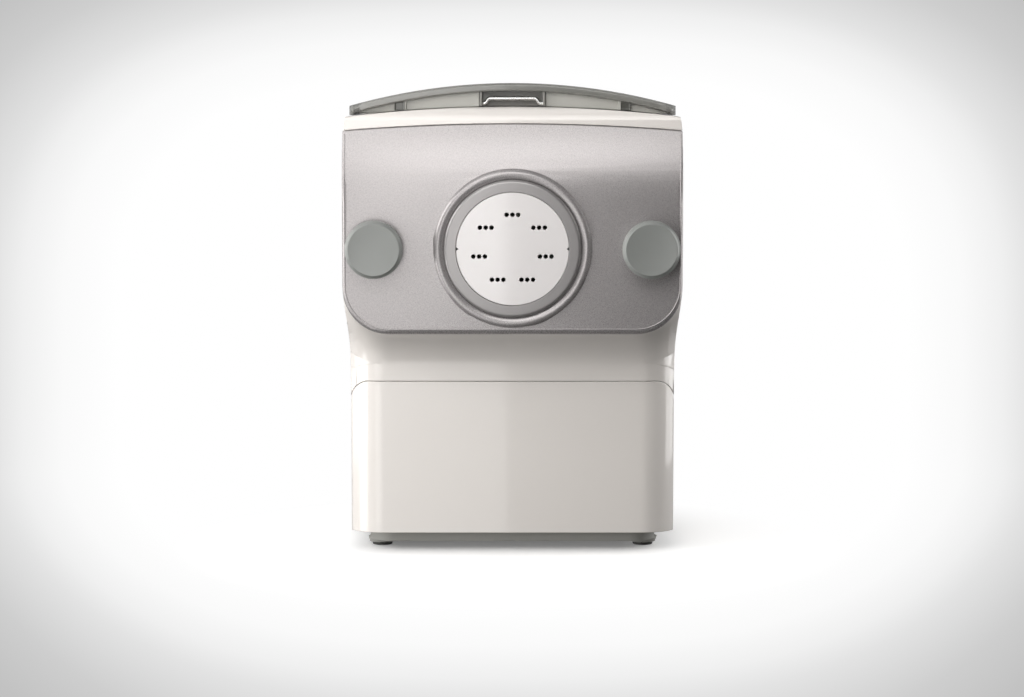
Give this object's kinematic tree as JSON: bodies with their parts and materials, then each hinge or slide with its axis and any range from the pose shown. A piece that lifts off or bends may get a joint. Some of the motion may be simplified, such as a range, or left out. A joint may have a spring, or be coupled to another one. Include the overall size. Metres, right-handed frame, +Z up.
{
  "type": "electric pasta maker",
  "caption": "Free-standing electric pasta maker with a kneading trough under a hinged lid, a screw that presses dough through a die in a removable front panel, and a storage drawer.",
  "frame": {"origin": "on the table, under the middle of the overall box", "axes": "+X to the right as seen from the front, +Y to the back, +Z up; the front panel and the knobs face -Y"},
  "size_m": [0.215, 0.343, 0.3],
  "materials": {
    "housing_white": "glossy",
    "panel_silver": "satin",
    "ring_grey": "satin",
    "die_white": "satin",
    "knob_grey": "satin",
    "lid_smoke": "glossy",
    "dark_plastic": "matte",
    "base_grey": "matte",
    "foot_rubber": "matte",
    "seal_rubber": "matte",
    "clear_seal": "matte",
    "steel": "brushed",
    "bright_steel": "polished",
    "brass": "satin",
    "nylon": "satin",
    "trough_plastic": "glossy",
    "tray_plastic": "satin",
    "gear_metal": "cast",
    "motor_iron": "satin",
    "display": "glossy",
    "button_silver": "satin",
    "circuit_board": "satin"
  },
  "bodies": {
    "body": {"main_housing": "housing_white", "front_frame": "housing_white", "rear_cover": "housing_white", "base_plate": "base_grey", "rubber_feet": "foot_rubber", "base_screws": "steel", "rear_cover_screws": "steel", "cord_gland": "dark_plastic", "chassis": "dark_plastic", "guide_posts": "steel", "hinge_bracket": "base_grey", "hinge_pins": "steel", "mixing_trough": "trough_plastic", "shaft_seal": "seal_rubber", "extruding_tube": "gear_metal", "idler_pin": "steel", "gearbox_case": "gear_metal", "gearbox_cover": "gear_metal", "gearbox_screws": "steel", "shaft_bearings": "steel", "motor_stator": "motor_iron", "motor_front_bell": "gear_metal", "motor_rear_bell": "gear_metal", "control_bezel": "base_grey", "display_window": "display", "control_board": "circuit_board", "power_board": "circuit_board", "lid_switch": "dark_plastic", "drawer_rails": "steel"},
    "panel": {"front_panel": "panel_silver", "panel_liner": "dark_plastic", "panel_liner_screws": "steel", "outlet_ring": "ring_grey", "shaping_disc": "die_white"},
    "left_knob": {"left_knob": "knob_grey", "left_knob_bush": "brass", "left_knob_washer": "steel"},
    "right_knob": {"right_knob": "knob_grey", "right_knob_bush": "brass", "right_knob_washer": "steel"},
    "lid": {"lid_cover": "lid_smoke", "lid_skirt": "lid_smoke", "lid_seal": "clear_seal", "latch_housing": "dark_plastic"},
    "latch": {"latch_bail": "bright_steel"},
    "mixer": {"mixing_paddle": "nylon", "extruding_screw": "nylon", "drive_shaft": "steel", "main_gear": "nylon"},
    "idler": {"idler_gear": "nylon"},
    "rotor": {"motor_rotor": "steel", "motor_pinion": "steel", "cooling_fan": "dark_plastic"},
    "drawer": {"drawer_front": "housing_white", "drawer_tray": "tray_plastic"},
    "power_button": {"power_button": "button_silver"},
    "program_button": {"program_button": "button_silver"},
    "portion_button": {"portion_button": "button_silver"},
    "extrude_button": {"extrude_button": "button_silver"},
    "start_button": {"start_button": "button_silver"}
  },
  "joints": [
    {"name": "panel_slide", "type": "slide", "parent": "body", "child": "panel", "axis": [0, -1, 0], "range_m": [0, 0.06]},
    {"name": "left_knob_turn", "type": "hinge", "parent": "panel", "child": "left_knob", "pos_m": [-0.0862, -0.155, 0.197], "axis": [0, 1, 0], "continuous": true},
    {"name": "right_knob_turn", "type": "hinge", "parent": "panel", "child": "right_knob", "pos_m": [0.0862, -0.155, 0.197], "axis": [0, 1, 0], "continuous": true},
    {"name": "lid_hinge", "type": "hinge", "parent": "body", "child": "lid", "pos_m": [0, 0.0545, 0.2945], "axis": [-1, 0, 0], "range_deg": [0, 80]},
    {"name": "latch_swing", "type": "hinge", "parent": "lid", "child": "latch", "pos_m": [0, -0.1289, 0.2871], "axis": [-1, 0, 0], "range_deg": [0, 18], "stiffness_Nm_per_rad": 0.01},
    {"name": "mixer_spin", "type": "hinge", "parent": "body", "child": "mixer", "pos_m": [0, 0, 0.197], "axis": [0, 1, 0], "continuous": true},
    {"name": "idler_spin", "type": "hinge", "parent": "body", "child": "idler", "pos_m": [0.02782, 0.065, 0.15248], "axis": [0, 1, 0], "continuous": true},
    {"name": "rotor_spin", "type": "hinge", "parent": "body", "child": "rotor", "pos_m": [0, 0.1, 0.12963], "axis": [0, 1, 0], "continuous": true},
    {"name": "drawer_slide", "type": "slide", "parent": "body", "child": "drawer", "axis": [0, -1, 0], "range_m": [0, 0.11]},
    {"name": "power_press", "type": "slide", "parent": "body", "child": "power_button", "axis": [-1, 0, 0], "range_m": [0, 0.001], "stiffness_N_per_m": 300},
    {"name": "program_press", "type": "slide", "parent": "body", "child": "program_button", "axis": [-1, 0, 0], "range_m": [0, 0.001], "stiffness_N_per_m": 300},
    {"name": "portion_press", "type": "slide", "parent": "body", "child": "portion_button", "axis": [-1, 0, 0], "range_m": [0, 0.001], "stiffness_N_per_m": 300},
    {"name": "extrude_press", "type": "slide", "parent": "body", "child": "extrude_button", "axis": [-1, 0, 0], "range_m": [0, 0.001], "stiffness_N_per_m": 300},
    {"name": "start_press", "type": "slide", "parent": "body", "child": "start_button", "axis": [-1, 0, 0], "range_m": [0, 0.001], "stiffness_N_per_m": 300}
  ],
  "couplings": [
    {"joint": "idler_spin", "follows": "rotor_spin", "ratio": -0.2},
    {"joint": "mixer_spin", "follows": "rotor_spin", "ratio": 0.033333}
  ]
}
